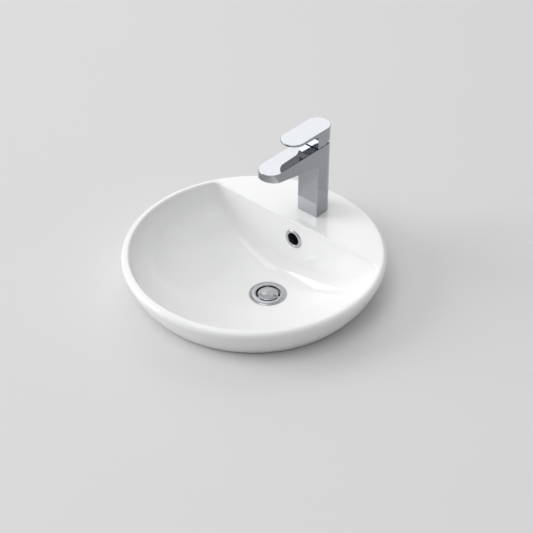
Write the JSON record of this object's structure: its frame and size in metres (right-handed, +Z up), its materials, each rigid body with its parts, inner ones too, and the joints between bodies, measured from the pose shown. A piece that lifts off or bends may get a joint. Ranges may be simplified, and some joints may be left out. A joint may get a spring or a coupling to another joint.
{
  "type": "inset basin",
  "caption": "Round white china basin that hangs through a bench cut-out, with a flat tap ledge, chrome lever mixer, overflow trim and push-down pop-up waste.",
  "frame": {"origin": "centre of the flat ring under the outer wall, in the plane of the bench top that it rests on", "axes": "+Z up out of the bench, -Y towards the user at the front, +X to that user's right"},
  "size_m": [0.4526, 0.4526, 0.374],
  "materials": {
    "china": "white gloss glaze",
    "tap_chrome": "polished chrome plate",
    "waste_chrome": "polished chrome plate",
    "black_rubber": "moulded",
    "brass": "machined",
    "steel": "zinc plated",
    "white_plastic": "moulded",
    "grey_plastic": "moulded",
    "disc_ceramic": "lapped flat"
  },
  "bodies": {
    "base": {"basin_body": "china", "tap_body": "tap_chrome", "aerator_housing": "tap_chrome", "waste_body": "waste_chrome", "overflow_trim": "waste_chrome", "waste_flange_gasket": "black_rubber", "waste_cone_washer": "black_rubber", "tap_base_gasket": "black_rubber", "tap_rubber_washer": "black_rubber", "aerator_seal": "black_rubber", "cartridge_base_seals": "black_rubber", "waste_backnut": "brass", "click_sleeve": "brass", "tap_stud_nut": "brass", "cartridge_nut": "brass", "tap_stud": "brass", "click_spring": "steel", "tap_clamp_plate": "steel", "waste_slip_washer": "white_plastic", "aerator_screen": "white_plastic", "cartridge_base": "white_plastic", "cartridge_housing": "white_plastic", "cartridge_fixed_disc": "disc_ceramic"},
    "rotor": {"cartridge_rotor": "white_plastic", "cartridge_pivot_pin": "steel"},
    "lever": {"lever_handle": "tap_chrome", "cartridge_stem": "steel", "lever_grub_screw": "steel", "lever_cover_plug": "grey_plastic"},
    "disc": {"cartridge_carrier": "white_plastic", "cartridge_moving_disc": "disc_ceramic"},
    "plug": {"plug_cap": "waste_chrome", "plug_seal": "black_rubber", "click_plunger": "white_plastic"}
  },
  "joints": [
    {"name": "lever_swivel", "type": "hinge", "parent": "base", "child": "rotor", "pos_m": [0, 0.158, 0.2], "axis": [0, 0, 1], "range_deg": [-45, 45]},
    {"name": "lever_lift", "type": "hinge", "parent": "rotor", "child": "lever", "pos_m": [0, 0.158, 0.1912], "axis": [-1, 0, 0], "range_deg": [0, 18]},
    {"name": "disc_slide", "type": "slide", "parent": "rotor", "child": "disc", "axis": [0, -1, 0], "range_m": [0, 0.0032]},
    {"name": "plug_lift", "type": "slide", "parent": "base", "child": "plug", "axis": [0, 0, 1], "range_m": [0, 0.008], "deforming": ["click_spring"]}
  ],
  "couplings": [
    {"joint": "disc_slide", "follows": "lever_lift", "m_per_rad": 0.0099}
  ]
}
